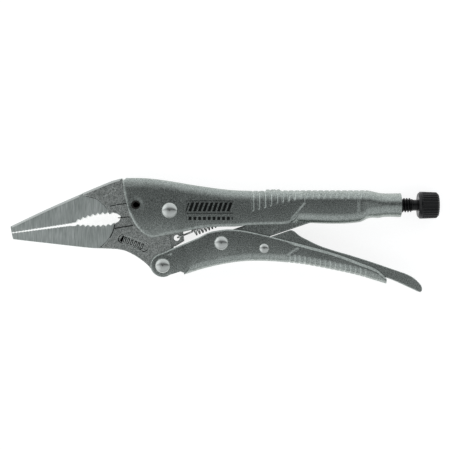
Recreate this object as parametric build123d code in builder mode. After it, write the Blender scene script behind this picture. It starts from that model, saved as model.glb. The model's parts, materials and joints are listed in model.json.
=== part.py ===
"""Long-nose locking pliers lying on one side: pivots along Z, jaws towards -X, adjusting screw towards +X.

Origin: jaw pivot axis, in the plane of the flat rivet heads that the tool rests on. Units are millimetres.
"""

import math
import os

from build123d import *

os.makedirs("parts", exist_ok=True)

# Widths across the tool, measured from its middle plane
SHOP_HEAD_H = 0.6
HALF_WIDTH = 7.5
SHEET = 2.5
HALF_INSIDE = HALF_WIDTH - SHEET
HALF_JAW = 4.8
MID = SHOP_HEAD_H + HALF_WIDTH

# Pivots: jaw pivot A, lever pivot B, link pivot C, release pivot E, and the centre N of the link's nose
A = (0, 0)
B = (-3.7, -30.0)
C = (28.2, -17.7)
E = (51.5, -20.6)
LINK_ANGLE = 18.5
LINK_HALF = 5.0
LINK_SPAN = 60.9
N = (
    C[0] + LINK_SPAN * math.cos(math.radians(LINK_ANGLE)),
    C[1] + LINK_SPAN * math.sin(math.radians(LINK_ANGLE)),
)
SHANK_A, SHANK_B, SHANK_C, SHANK_E = 3.0, 2.5, 2.5, 1.6
RUNNING = 0.05

# Adjusting screw
SCREW_Y = 3.0
THREAD_R = 4.0
THREAD_PITCH = 1.5
THREAD_DEPTH = 0.92
SCREW_TIP_X = 93.0
COLLAR_X0, COLLAR_X1 = 115.6, 126.7
COLLAR_R = 6.6

middle = Plane.XY.offset(MID)


def cross_plane(x, y):
    """Plane across the tool at x, centred on height y: local X is +Y, local Y is +Z."""
    return Plane(origin=(x, y, MID), x_dir=(0, 1, 0), z_dir=(1, 0, 0))


def between(points, x):
    """Height at x on the line through the points."""
    for (x0, y0), (x1, y1) in zip(points, points[1:]):
        if x0 <= x <= x1:
            return y0 + (y1 - y0) * (x - x0) / (x1 - x0)
    return points[-1][1]


# Handle body: one folded sheet, open below at the jaws, closed into a tube, then drawn down to a collar
TUBE_X0, TUBE_X1 = 70.0, 103.0
TUBE_TOP, TUBE_BOTTOM = 11.2, -6.5
BEND_R = 5.0
body_top = [(-23.8, 17.9), (-14, 17.8), (-4.2, 16.8), (15.5, 13.6), (34.8, 11.2), (52, 10.9), (TUBE_X0, TUBE_TOP)]
cheek_bottom = [(68, -5.4), (64.6, -7.0), (53.8, -7.6), (43.9, -7.9), (36.2, -8.7), (28.2, -8.8), (17.6, -9.5), (6.4, -11.8), (-2.3, -13.3), (-6.5, -14.3), (-10.1, -14.5), (-12.8, -13.6)]
cheek_front = [(-12.8, -13.6), (-16.0, -10.9), (-18.7, -7.6), (-21.3, -2.6), (-22.7, 1.2), (-23.6, 5.0), (-24.6, 9.0), (-25.4, 14.5), (-25.6, 16.0)]

with BuildPart() as body_hollow:
    with BuildSketch(middle):
        with BuildLine():
            Polyline((-35, 15.5), (-23.8, 15.4))
            Spline([(x, y - SHEET) for x, y in body_top], tangents=((1, 0.02), (1, 0)))
            Polyline((TUBE_X0, TUBE_TOP - SHEET), (TUBE_X1, TUBE_TOP - SHEET), (TUBE_X1, TUBE_BOTTOM + SHEET), (TUBE_X0, TUBE_BOTTOM + SHEET))
            Polyline((TUBE_X0, TUBE_BOTTOM + SHEET), (66, -25), (-35, -25), (-35, 15.5))
        make_face()
    extrude(amount=HALF_INSIDE, both=True)
    hollow_corners = body_hollow.edges().filter_by(lambda e: e.center().Y > 8 and e.length > 30)
    fillet(hollow_corners, BEND_R - SHEET)
    hollow_end = cross_plane(TUBE_X1, (TUBE_TOP + TUBE_BOTTOM) / 2)
    with BuildSketch(hollow_end):
        RectangleRounded(TUBE_TOP - TUBE_BOTTOM - 2 * SHEET, 2 * HALF_INSIDE, BEND_R - SHEET)
    with BuildSketch(cross_plane(COLLAR_X0, SCREW_Y)):
        Circle(THREAD_R + RUNNING)
    loft()
    with BuildSketch(cross_plane(COLLAR_X0, SCREW_Y)):
        Circle(THREAD_R + RUNNING)
    extrude(amount=COLLAR_X1 - COLLAR_X0 + 2)

with BuildPart() as handle_body:
    with BuildSketch(middle):
        with BuildLine():
            Spline(body_top, tangents=((1, 0.02), (1, 0)))
            Polyline((TUBE_X0, TUBE_TOP), (TUBE_X1, TUBE_TOP), (TUBE_X1, TUBE_BOTTOM), (TUBE_X0, TUBE_BOTTOM), cheek_bottom[0])
            Spline(cheek_bottom)
            Spline(cheek_front)
            Line(cheek_front[-1], body_top[0])
        make_face()
    extrude(amount=HALF_WIDTH, both=True)
    top_bends = handle_body.edges().filter_by(lambda e: e.center().Y > 9 and e.length > 30)
    fillet(top_bends, BEND_R)
    with BuildSketch(cross_plane(TUBE_X0, TUBE_BOTTOM)):
        Rectangle(2 * BEND_R, 20)
        with Locations((TUBE_TOP - BEND_R, 0)):
            RectangleRounded(2 * TUBE_TOP - 2 * BEND_R, 2 * HALF_WIDTH, BEND_R, mode=Mode.SUBTRACT)
    extrude(amount=TUBE_X1 - TUBE_X0, mode=Mode.SUBTRACT)
    with BuildSketch(cross_plane(TUBE_X1, (TUBE_TOP + TUBE_BOTTOM) / 2)):
        RectangleRounded(TUBE_TOP - TUBE_BOTTOM, 2 * HALF_WIDTH, BEND_R)
    with BuildSketch(cross_plane(COLLAR_X0, SCREW_Y)):
        Circle(COLLAR_R)
    loft()
    with BuildSketch(cross_plane(COLLAR_X0, SCREW_Y)):
        Circle(COLLAR_R)
    extrude(amount=COLLAR_X1 - COLLAR_X0)
    chamfer(handle_body.faces().sort_by(Axis.X)[-1].edges(), 0.6)
    add(body_hollow.part, mode=Mode.SUBTRACT)
    # Slot in the underside of the tube that the toggle link swings out of
    with BuildSketch(Plane.XZ):
        with Locations((79.5, MID)):
            SlotOverall(31, 8.2)
    extrude(amount=12, mode=Mode.SUBTRACT)
    # Spring anchor: a tongue pressed down from the top of the fold, with a hole for the hook
    with BuildSketch(middle):
        with BuildLine():
            Polyline((53.8, 9.4), (59.0, 9.4), (58.6, 4.6), (57.4, 3.2), (55.6, 3.2), (54.4, 4.4), (53.8, 9.4))
        make_face()
    extrude(amount=1.0, both=True)
    with Locations((56.4, 5.8, MID)):
        Cylinder(1.5, 4, mode=Mode.SUBTRACT)
    # Low boss that the tongue raises on the outside
    with BuildSketch(cross_plane(52.5, 10.4)):
        Ellipse(1.2, 3.6)
    extrude(amount=8.0)
    with Locations((0, 0, MID)):
        Cylinder(SHANK_A, 40, mode=Mode.SUBTRACT)
    with Locations((-18.4, 3.1, MID)):
        Cylinder(2.4, 40, mode=Mode.SUBTRACT)
    # Grip grooves across the top bend; the front ones run on down the cheeks
    for i in range(20):
        x = 45.4 + 3.25 * i
        narrow = max(0, x - TUBE_X1) * 0.07
        top = between(body_top, x) - 1.8 * narrow
        reach = 4.2 + 0.9 * max(0, 8 - i)
        with BuildSketch(cross_plane(x, top + 1 - (reach + 1) / 2)):
            Rectangle(reach + 1, 20)
            with Locations(((reach + 1) / 2 - 1.35 - 10, 0)):
                RectangleRounded(20, 2 * (HALF_WIDTH - narrow) - 0.7, BEND_R - 0.35, mode=Mode.SUBTRACT)
        extrude(amount=0.6, both=True, mode=Mode.SUBTRACT)

# Ground flats on both sides of the jaws' noses: a wedge that thins towards the tip, bounded by the shoulder curve
shoulder = [(-49, 10.2), (-45.8, 8.0), (-40.9, 6.8), (-37.2, 4.3), (-34.5, 1.4), (-33.0, -1.6), (-30.0, -5.0), (-30.2, -8.0), (-31.8, -13.1), (-33.6, -15.9), (-36.0, -18.6), (-39.6, -21.5)]
with BuildPart() as nose_relief:
    with BuildSketch(middle):
        with BuildLine():
            Polyline((-39.6, -21.5), (-39.6, -30), (-95, -30), (-95, -10), (-49, 10.2))
            Spline(shoulder)
        make_face()
    extrude(amount=10)
    with BuildSketch(Plane.XZ):
        with BuildLine():
            Polyline((-95, MID + 1.9), (-30, MID + 4.1), (-25, MID + 12), (-95, MID + 12), (-95, MID + 1.9))
        make_face()
    extrude(amount=50, both=True, mode=Mode.INTERSECT)
    mirror(about=middle)


def fine_teeth(start, end, count, depth):
    """Saw points from start to end, pointing down when depth is negative."""
    points = []
    for i in range(count):
        t = i / count
        x = start[0] + (end[0] - start[0]) * t
        y = start[1] + (end[1] - start[1]) * t
        step = (end[0] - start[0]) / count
        points.append((x, y))
        points.append((x + 0.5 * step, y + 0.5 * (end[1] - start[1]) / count + depth))
    return points


# Fixed jaw: nose, gripping teeth, cutter edge, and a tang held between the cheeks, hollowed round the jaw pivot
BOSS_R = 9.0
TANG_R = 9.35
SEAM_ANGLE = 194
upper_teeth = []
for i in range(8):
    x = -31.3 - 2.7 * i
    upper_teeth.append((x, -0.9 - 0.0142 * (x + 34) ** 2))
    upper_teeth.append((x - 1.6, -2.1 - 0.0142 * (x - 1.6 + 34) ** 2))
seam_end = (TANG_R * math.cos(math.radians(SEAM_ANGLE)), TANG_R * math.sin(math.radians(SEAM_ANGLE)))
tang_end = (TANG_R * math.cos(math.radians(62)), TANG_R * math.sin(math.radians(62)))
tang_mid = (TANG_R * math.cos(math.radians(130)), TANG_R * math.sin(math.radians(130)))
with BuildPart() as fixed_jaw:
    with BuildSketch(middle):
        with BuildLine():
            Spline((-87.5, -8.7), (-68.4, 0.3), (-51.5, 7.8), (-40.3, 12.6), (-31.9, 16.0), (-26.6, 17.6))
            Polyline((-26.6, 17.6), (-25.9, 17.5), (-25.5, 15.0), (-24.4, 12.0), (-3.0, 11.8), (3.6, 11.0), tang_end)
            ThreePointArc(tang_end, tang_mid, seam_end)
            Polyline(seam_end, (-21.2, -3.35), (-27.0, -4.1), (-27.0, -3.0), (-28.9, -1.7), (-30.1, -1.5), *upper_teeth, *fine_teeth((-86.9, -12.2), (-52.6, -6.9), 20, 0.42)[:0:-1], (-86.9, -12.2), (-87.5, -8.7))
        make_face()
    extrude(amount=HALF_JAW, both=True)
    add(nose_relief.part, mode=Mode.SUBTRACT)
    with Locations((-18.4, 3.1, MID)):
        Cylinder(2.4, 20, mode=Mode.SUBTRACT)
    # Recessed land beside the cutter edge, and a shallow oblong mark forged in the shoulder
    with BuildSketch(Plane.XY.offset(MID + 4.15)):
        with BuildLine():
            Polyline((-33.1, 2.0), (-22.0, 4.4), (-22.0, -3.4), (-27.0, -4.4), (-33.6, -4.0), (-33.1, 2.0))
        make_face()
        with Locations(Location((-33.3, 10.1, 0), (0, 0, 29))):
            SlotOverall(7.6, 1.8)
    extrude(amount=2, mode=Mode.SUBTRACT)

# Moving jaw: nose, gripping teeth, cutter edge, boss round the jaw pivot, arm down to the lever pivot, spring tab
lower_teeth = []
for i in range(8):
    x = -31.0 - 2.77 * i
    d = x + 41
    lower_teeth.append((x, -7.8 + 0.0075 * d**2 + 0.0003 * d**3))
    lower_teeth.append((x - 1.35, -8.9 + 0.0075 * (d - 1.35) ** 2 + 0.0003 * (d - 1.35) ** 3))
boss_start = (BOSS_R * math.cos(math.radians(SEAM_ANGLE + 2)), BOSS_R * math.sin(math.radians(SEAM_ANGLE + 2)))
boss_top = (0, BOSS_R)
boss_end = (BOSS_R * math.cos(math.radians(-35)), BOSS_R * math.sin(math.radians(-35)))
TAB_HALF = 1.2
with BuildPart() as moving_jaw:
    with BuildSketch(middle):
        with BuildLine():
            Polyline(boss_start, (-21.2, -3.47), (-27.1, -4.24), (-27.7, -5.5), (-28.9, -6.5), (-29.9, -7.1), *lower_teeth, *fine_teeth((-86.9, -12.32), (-53.2, -8.0), 20, -0.36)[:0:-1], (-86.9, -12.32), (-86.1, -15.7))
            Spline((-86.1, -15.7), (-70, -17.6), (-55.1, -19.2), (-42.8, -20.5), (-31.5, -20.9), (-24.8, -21.8), (-18.5, -24.9), (-12.5, -29.3), (-9.6, -32.7))
            ThreePointArc((-9.6, -32.7), (B[0], B[1] - 6.4), (B[0] + 6.4, B[1]))
            Polyline((B[0] + 6.4, B[1]), (1.9, -20.1), (4.2, -13.4), (7.3, -6.8), boss_end)
            ThreePointArc(boss_end, boss_top, boss_start)
        make_face()
    extrude(amount=HALF_JAW, both=True)
    add(nose_relief.part, mode=Mode.SUBTRACT)
    with BuildSketch(middle):
        with BuildLine():
            Polyline((0, -12), (0, -20.3), (3.0, -19.6), (7.9, -16.6), (6.9, -9.0), (0, -12))
        make_face()
    extrude(amount=TAB_HALF, both=True)
    # The thin tab stands clear of the thick arm on both sides
    with BuildSketch(Plane.XY.offset(MID + TAB_HALF)):
        with BuildLine():
            Polyline((-0.6, -13.3), (1.3, -21.5), (12, -21.5), (12, -8.2), (4.8, -8.2), (-0.6, -13.3))
        make_face()
    extrude(amount=10, mode=Mode.SUBTRACT)
    with BuildSketch(Plane.XY.offset(MID - TAB_HALF)):
        with BuildLine():
            Polyline((-0.6, -13.3), (1.3, -21.5), (12, -21.5), (12, -8.2), (4.8, -8.2), (-0.6, -13.3))
        make_face()
    extrude(amount=-10, mode=Mode.SUBTRACT)
    with Locations((3.7, -15.0, MID)):
        Cylinder(1.6, 20, mode=Mode.SUBTRACT)
    with Locations((0, 0, MID)):
        Cylinder(SHANK_A + RUNNING, 20, mode=Mode.SUBTRACT)
    with Locations((*B, MID)):
        Cylinder(SHANK_B + RUNNING, 20, mode=Mode.SUBTRACT)
    # Cutter land, and the oblong pocket forged in the side with plain raised bars in it
    with BuildSketch(Plane.XY.offset(MID + 4.15)):
        with BuildLine():
            Polyline((-31.0, -10.0), (-18.0, -8.0), (-19.6, -3.0), (-27.0, -4.0), (-31.0, -6.0), (-31.0, -10.0))
        make_face()
    extrude(amount=2, mode=Mode.SUBTRACT)
    with BuildSketch(Plane.XY.offset(MID + 4.0)):
        with Locations(Location((-19.9, -17.8, 0), (0, 0, -21))):
            SlotOverall(17, 4.8)
    extrude(amount=2, mode=Mode.SUBTRACT)
    pocket = Plane(origin=(-19.9, -17.8, MID + 3.9), x_dir=(math.cos(math.radians(21)), -math.sin(math.radians(21)), 0), z_dir=(0, 0, 1))
    with BuildSketch(pocket):
        with GridLocations(2.0, 1, 6, 1):
            Rectangle(0.9, 2.6)
    extrude(amount=0.65)

# Rivets: a shank through the folded sheets, a domed head above and a flat shop head below
DOME_H = 2.2


def rivet(x, y, shank_r, head_r, dome_h):
    """Rivet on the axis through (x, y): shank, spherical dome on top, flat head underneath."""
    ball_r = (head_r**2 + dome_h**2) / (2 * dome_h)
    with BuildPart() as piece:
        with BuildSketch(Plane(origin=(x, y, 0), x_dir=(1, 0, 0), z_dir=(0, -1, 0))):
            with BuildLine():
                top = MID + HALF_WIDTH
                Polyline((0, 0), (head_r - 0.5, 0), (head_r - 0.2, 0.3), (head_r - 0.2, SHOP_HEAD_H), (shank_r, SHOP_HEAD_H), (shank_r, top), (head_r, top))
                RadiusArc((head_r, top), (0, top + dome_h), -ball_r)
                Line((0, top + dome_h), (0, 0))
            make_face()
        revolve(axis=Axis((x, y, 0), (0, 0, 1)))
    return piece.part


jaw_pivot_rivet = rivet(*A, SHANK_A, 4.4, DOME_H)
lever_pivot_rivet = rivet(*B, SHANK_B, 4.2, DOME_H)
link_rivet = rivet(*C, SHANK_C, 4.05, DOME_H)
release_rivet = rivet(*E, SHANK_E, 2.7, 1.3)

# Spring pin that locks the fixed jaw in the body: a slotted tube
with BuildPart() as jaw_lock_pin:
    with BuildSketch(Plane(origin=(-18.4, 3.1, MID - HALF_WIDTH + 0.8))):
        Circle(2.4)
        Circle(1.3, mode=Mode.SUBTRACT)
        with Locations((1.9, 0)):
            Rectangle(1.6, 0.5, mode=Mode.SUBTRACT)
    extrude(amount=2 * HALF_WIDTH - 2.0)

# Lever handle: a folded channel with its web along the bottom, open at the front round the jaw's arm
lever_top = [(-3.5, -23.0), (1.3, -20.8), (6.6, -18.6), (16.4, -14.4), (20.7, -12.2), (27, -10.8), (32.5, -10.3), (39.6, -10.9), (49.4, -12.9), (61.2, -15.8), (74.6, -19.2), (89.9, -23.4), (102.9, -28.2), (113.6, -32.8), (118.4, -37.3)]
lever_web = [(7.9, -35.0), (20.4, -31.2), (37.3, -28.0), (49.6, -27.5), (71.7, -29.2), (89.9, -32.5), (102.9, -35.4), (118.0, -39.9)]
EAR_R = 6.7
with BuildPart() as lever_hollow:
    with BuildSketch(middle):
        with BuildLine():
            Polyline((-20, -10), (-20, -50), (7.9, -50), (7.9, -35.0 + SHEET))
            Spline([(x, y + SHEET) for x, y in lever_web])
            Polyline((118.0, -39.9 + SHEET), (125, -39.5), (125, -10), (-20, -10))
        make_face()
    extrude(amount=HALF_INSIDE, both=True)
    fillet(lever_hollow.edges().filter_by(lambda e: e.center().Y < -25 and e.length > 100), 1.5)

with BuildPart() as lever_handle:
    with BuildSketch(middle):
        with BuildLine():
            ear_top = (B[0] - 2.6, B[1] + EAR_R * math.sqrt(1 - (2.6 / EAR_R) ** 2))
            ear_low = (B[0] + 0.6, B[1] - EAR_R * math.sqrt(1 - (0.6 / EAR_R) ** 2))
            ThreePointArc(ear_top, (B[0] - EAR_R, B[1]), ear_low)
            Polyline(ear_low, (1.3, -35.4), (6.2, -33.7), lever_web[0])
            Spline(lever_web)
            Line(lever_web[-1], lever_top[-1])
            Spline([ear_top, *lever_top][::-1])
        make_face()
    extrude(amount=HALF_WIDTH, both=True)
    fillet(lever_handle.edges().filter_by(lambda e: e.center().Y < -25 and e.length > 100), 3.6)
    add(lever_hollow.part, mode=Mode.SUBTRACT)
    with Locations((*B, MID), (*C, MID)):
        Cylinder(SHANK_B, 40, mode=Mode.SUBTRACT)
    with Locations((*E, MID)):
        Cylinder(SHANK_E, 40, mode=Mode.SUBTRACT)
    # Grip ribs: grooves pressed across the bottom bend
    for i in range(16):
        x = 65.3 + 2.75 * i
        low = between(lever_web, x)
        with BuildSketch(cross_plane(x, low + 1.2)):
            Rectangle(4.2, 20)
            with Locations((9.25, 0)):
                RectangleRounded(20, 2 * HALF_WIDTH - 0.6, 3.3, mode=Mode.SUBTRACT)
        extrude(amount=0.55, both=True, mode=Mode.SUBTRACT)

# Toggle link: a bar from the link pivot to the screw's tip, with a thicker boss at the pivot
with BuildPart() as toggle_link:
    with BuildSketch(middle):
        with Locations(Location((0.5 * (C[0] + N[0]), 0.5 * (C[1] + N[1]), 0), (0, 0, LINK_ANGLE))):
            SlotCenterToCenter(LINK_SPAN, 2 * LINK_HALF)
    extrude(amount=3.7, both=True)
    with Locations((*C, MID)):
        Cylinder(6.2, 9.4)
        Cylinder(SHANK_C + RUNNING, 20, mode=Mode.SUBTRACT)

# Release lever: a narrower channel inside the lever handle, with its nose under the link and its tail behind
HALF_RELEASE = 4.55
RELEASE_SHEET = 1.6
release_top = [(54.5, -14.7), (66.2, -10.75), (68.0, -11.3), (70.3, -13.2), (75.2, -16.0), (80.1, -18.4), (85.0, -20.3), (98.9, -24.5), (109.2, -27.7), (117.2, -30.4), (125.0, -33.1), (131.3, -35.6), (135.0, -38.2), (137.9, -43.2), (137.4, -44.5)]
release_web = [(52.5, -24.4), (71.7, -25.8), (89.9, -29.0), (102.9, -32.0), (112.4, -34.7), (119.6, -37.1), (131.3, -42.2), (136.6, -44.7)]
with BuildPart() as release_hollow:
    with BuildSketch(middle):
        with BuildLine():
            Spline([(x, y + RELEASE_SHEET) for x, y in release_web[:-1]])
            inside_front = release_web[0][1] + RELEASE_SHEET
            Polyline((131.3, -42.2 + RELEASE_SHEET), (133.5, -36), (140, 0), (40, 0), (40, inside_front), (release_web[0][0], inside_front))
        make_face()
    extrude(amount=HALF_RELEASE - RELEASE_SHEET, both=True)

with BuildPart() as release_lever:
    with BuildSketch(middle):
        with BuildLine():
            ThreePointArc(release_web[0], (E[0] - 3.95, E[1]), (E[0] + 0.5, E[1] + 4.0))
            Polyline((E[0] + 0.5, E[1] + 4.0), release_top[0], release_top[1])
            Spline(release_top[1:])
            Line(release_top[-1], release_web[-1])
            Spline(release_web[::-1])
        make_face()
    extrude(amount=HALF_RELEASE, both=True)
    add(release_hollow.part, mode=Mode.SUBTRACT)
    with Locations((*E, MID)):
        Cylinder(SHANK_E + RUNNING, 20, mode=Mode.SUBTRACT)

# Return spring: a close coil with a round hook at each end
WIRE_R = 0.5
COIL_R = 2.35
COIL_PITCH = 1.85
HOOK_R = 2.4
hook_a = (6.4, -13.9)
hook_b = (54.0, 4.9)
SPRING_ANGLE = math.degrees(math.atan2(hook_b[1] - hook_a[1], hook_b[0] - hook_a[0]))
SPRING_SPAN = math.dist(hook_a, hook_b)
COIL_START = 6.5
COIL_LEN = SPRING_SPAN - 2 * COIL_START
spring_axis = (math.cos(math.radians(SPRING_ANGLE)), math.sin(math.radians(SPRING_ANGLE)), 0)
coil_centre = (hook_a[0] + COIL_START * spring_axis[0], hook_a[1] + COIL_START * spring_axis[1], MID)
with BuildPart() as return_spring:
    with BuildLine():
        coil = Helix(COIL_PITCH, COIL_LEN, COIL_R, center=coil_centre, direction=spring_axis)
    with BuildSketch(Plane(origin=coil @ 0, z_dir=coil % 0)):
        Circle(WIRE_R)
    sweep(path=coil, is_frenet=True)
    hook_plane = Plane(origin=(*hook_a, MID), x_dir=spring_axis, z_dir=(-spring_axis[1], spring_axis[0], 0))
    for centre, inward in ((0, 1), (SPRING_SPAN, -1)):
        with Locations(hook_plane.offset(0) * Pos(centre, 0, 0)):
            Torus(HOOK_R, WIRE_R)
        with BuildLine(hook_plane):
            leg = Line((centre + inward * HOOK_R, 0), (centre + inward * (COIL_START + 0.2), 0))
            foot = Line((centre + inward * (COIL_START + 0.2), 0), (centre + inward * (COIL_START + 0.2), -COIL_R))
        with BuildSketch(Plane(origin=leg @ 0, z_dir=leg % 0)):
            Circle(WIRE_R)
        sweep(path=leg)
        with BuildSketch(Plane(origin=foot @ 0, z_dir=foot % 0)):
            Circle(WIRE_R)
        sweep(path=foot)

# Adjusting screw: threaded rod with a plain neck that carries the knob
KNOB_X0, KNOB_X1 = 136.2, 147.4
NECK_R = 3.0
thread_profile = [(SCREW_TIP_X, 0), (SCREW_TIP_X, 2.4), (SCREW_TIP_X + 0.8, THREAD_R - THREAD_DEPTH)]
turns = int((KNOB_X0 - 2.0 - SCREW_TIP_X - 0.8) / THREAD_PITCH)
for i in range(turns):
    x = SCREW_TIP_X + 0.8 + THREAD_PITCH * i
    thread_profile.append((x + 0.15, THREAD_R - THREAD_DEPTH))
    thread_profile.append((x + 0.65, THREAD_R))
    thread_profile.append((x + 0.85, THREAD_R))
    thread_profile.append((x + 1.35, THREAD_R - THREAD_DEPTH))
thread_profile += [(KNOB_X0 - 1.8, NECK_R), (KNOB_X1 - 2.4, NECK_R), (KNOB_X1 - 2.4, 0)]
with BuildPart() as adjusting_screw:
    with BuildSketch(middle):
        with BuildLine():
            Polyline([(x, SCREW_Y + r) for x, r in thread_profile], close=True)
        make_face()
    revolve(axis=Axis((0, SCREW_Y, MID), (1, 0, 0)))

# Knob: slightly tapered cap with a chamfered rim and flutes round it
KNOB_R = 7.5
with BuildPart() as adjusting_knob:
    with BuildSketch(middle):
        with BuildLine():
            Polyline((KNOB_X0, SCREW_Y), (KNOB_X0, SCREW_Y + 6.2), (KNOB_X0 + 1.0, SCREW_Y + KNOB_R), (KNOB_X1 - 1.2, SCREW_Y + 7.1), (KNOB_X1, SCREW_Y + 6.0), (KNOB_X1, SCREW_Y), (KNOB_X0, SCREW_Y))
        make_face()
    revolve(axis=Axis((0, SCREW_Y, MID), (1, 0, 0)))
    with BuildSketch(cross_plane(KNOB_X0 + 2.0, SCREW_Y)):
        with PolarLocations(7.95, 16):
            Circle(0.8)
    extrude(amount=20, mode=Mode.SUBTRACT)
    with BuildSketch(cross_plane(KNOB_X0 - 1, SCREW_Y)):
        Circle(NECK_R + RUNNING)
    extrude(amount=KNOB_X1 - 2.3 - KNOB_X0 + 1, mode=Mode.SUBTRACT)

pieces = {
    "handle_body": handle_body.part,
    "fixed_jaw": fixed_jaw.part,
    "moving_jaw": moving_jaw.part,
    "jaw_pivot_rivet": jaw_pivot_rivet,
    "lever_pivot_rivet": lever_pivot_rivet,
    "link_rivet": link_rivet,
    "release_rivet": release_rivet,
    "jaw_lock_pin": jaw_lock_pin.part,
    "lever_handle": lever_handle.part,
    "toggle_link": toggle_link.part,
    "release_lever": release_lever.part,
    "return_spring": return_spring.part,
    "adjusting_screw": adjusting_screw.part,
    "adjusting_knob": adjusting_knob.part,
}
for name, piece in pieces.items():
    piece.label = name
    export_step(piece, "parts/" + name + ".step")
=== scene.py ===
# %% [markdown]
# # Long-nose locking pliers
# The tool lies on its side on a pale table, pivots pointing up. Its measured parts come from the CAD frame.
# Here each part gets its softened edges, its pressed and cut details, and the finish of the real steel.

import json
import math

import bmesh
import bpy
import numpy as np
from mathutils import Matrix, Vector


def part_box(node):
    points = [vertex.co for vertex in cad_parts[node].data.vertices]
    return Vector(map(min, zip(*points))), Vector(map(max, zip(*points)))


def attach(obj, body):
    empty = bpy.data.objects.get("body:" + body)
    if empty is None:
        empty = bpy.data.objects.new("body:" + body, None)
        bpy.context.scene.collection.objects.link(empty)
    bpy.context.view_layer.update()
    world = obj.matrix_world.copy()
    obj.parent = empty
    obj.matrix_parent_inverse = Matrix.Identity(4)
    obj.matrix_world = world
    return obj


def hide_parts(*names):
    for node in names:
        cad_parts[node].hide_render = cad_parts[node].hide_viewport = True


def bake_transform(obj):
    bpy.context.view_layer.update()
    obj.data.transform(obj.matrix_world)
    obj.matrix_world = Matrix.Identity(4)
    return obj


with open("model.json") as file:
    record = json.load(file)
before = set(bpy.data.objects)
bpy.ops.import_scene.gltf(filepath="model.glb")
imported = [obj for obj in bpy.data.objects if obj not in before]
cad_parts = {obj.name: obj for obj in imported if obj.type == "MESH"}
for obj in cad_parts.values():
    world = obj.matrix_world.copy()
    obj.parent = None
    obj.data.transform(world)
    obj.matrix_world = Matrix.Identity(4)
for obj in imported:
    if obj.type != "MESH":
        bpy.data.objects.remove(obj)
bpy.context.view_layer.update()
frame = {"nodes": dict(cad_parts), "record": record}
MM = 0.001
MIDDLE_Z = sum(corner.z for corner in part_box("toggle_link")) / 2
print("frame loaded:", len(frame["nodes"]), "nodes, middle plane at", round(MIDDLE_Z / MM, 2), "mm")

# %% [markdown]
# Every finish below is a small tree of shader nodes. One function adds a node, sets its values and links it,
# so that the trees read as lists. Another turns the colours, written as everyday sRGB hex, into linear light.

# %% Node and colour helpers


def linear(hex_colour):
    """Linear RGBA from an sRGB hex colour."""
    channels = [int(hex_colour[i : i + 2], 16) / 255 for i in (1, 3, 5)]
    return [c / 12.92 if c <= 0.04045 else ((c + 0.055) / 1.055) ** 2.4 for c in channels] + [1.0]


def add_node(tree, kind, inputs=(), **settings):
    """Adds one node. Inputs are values, or sockets to link from, by the socket's name or number."""
    node = tree.nodes.new(kind)
    for name, value in settings.items():
        setattr(node, name, value)
    for key, value in dict(inputs).items():
        if isinstance(value, bpy.types.NodeSocket):
            tree.links.new(value, node.inputs[key])
        else:
            node.inputs[key].default_value = value
    return node


def new_finish(name):
    """An empty node material: returns it, its tree, its surface shader and the object coordinates."""
    finish = bpy.data.materials.new(name)
    finish.use_nodes = True
    tree = finish.node_tree
    shader = tree.nodes["Principled BSDF"]
    place = add_node(tree, "ShaderNodeTexCoord").outputs["Object"]
    return finish, tree, shader, place


def per_mm(size_mm):
    """Texture scale for a pattern whose features are this many millimetres across."""
    return 1 / (size_mm * MM)


def ramp(tree, factor, stops):
    """A colour ramp through (position, hex) stops."""
    node = add_node(tree, "ShaderNodeValToRGB", {"Fac": factor})
    while len(node.color_ramp.elements) < len(stops):
        node.color_ramp.elements.new(0.5)
    for element, (position, hex_colour) in zip(node.color_ramp.elements, stops):
        element.position = position
        element.color = linear(hex_colour)
    return node.outputs["Color"]


def span(tree, value, low, high, to_low=0.0, to_high=1.0, curve="LINEAR"):
    """Maps value from low..high to to_low..to_high, clamped."""
    limits = {"Value": value, "From Min": low, "From Max": high, "To Min": to_low, "To Max": to_high}
    return add_node(tree, "ShaderNodeMapRange", limits, interpolation_type=curve).outputs[0]


def maths(tree, operation, a, b=0.0):
    return add_node(tree, "ShaderNodeMath", {0: a, 1: b}, operation=operation).outputs[0]


def times(tree, a, b):
    return maths(tree, "MULTIPLY", a, b)


# %% [markdown]
# ## Blasted and plated steel
# The folded handles are blasted with grit, then nickel plated. That leaves a metal surface of tiny
# pebbles: it never mirrors, but glitters in grains about half a millimetre across, with dark pits between them.
# A fine noise gives the grain its colour and its bump; a second, slow one makes it uneven over centimetres.
# The bump matters more than the colour, because each pebble then picks up its own part of the studio.

# %% Blasted nickel finish
GRIT_MM = 0.6  # drawn coarser than the real grit, which would vanish at this distance
CLOUD_MM = 9.0


def blasted_steel(name, stops, roughness=(0.22, 0.32), bump=0.09, grit=GRIT_MM):
    """Returns the finish, its tree, its shader and its colour socket."""
    finish, tree, shader, place = new_finish(name)
    grain = add_node(
        tree, "ShaderNodeTexNoise", {"Vector": place, "Scale": per_mm(grit), "Detail": 3.0, "Roughness": 0.65}
    ).outputs["Fac"]
    cloud = add_node(
        tree, "ShaderNodeTexNoise", {"Vector": place, "Scale": per_mm(CLOUD_MM), "Detail": 2.0}
    ).outputs["Fac"]
    mixed = maths(tree, "ADD", times(tree, grain, 0.88), times(tree, cloud, 0.12))
    colour = ramp(tree, mixed, stops)
    tree.links.new(colour, shader.inputs["Base Color"])
    tree.links.new(span(tree, grain, 0.35, 0.65, *roughness), shader.inputs["Roughness"])
    raised = add_node(tree, "ShaderNodeBump", {"Height": grain, "Strength": bump, "Distance": 0.2 * MM})
    tree.links.new(raised.outputs[0], shader.inputs["Normal"])
    shader.inputs["Metallic"].default_value = 1.0
    return finish, tree, shader, place, colour


PLATED_STOPS = [(0.32, "#7c827e"), (0.46, "#9ca39f"), (0.56, "#b0b7b3"), (0.70, "#ccd3cf")]
plated = blasted_steel("blasted nickel plated steel", PLATED_STOPS)[0]
print("made", plated.name)
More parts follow.
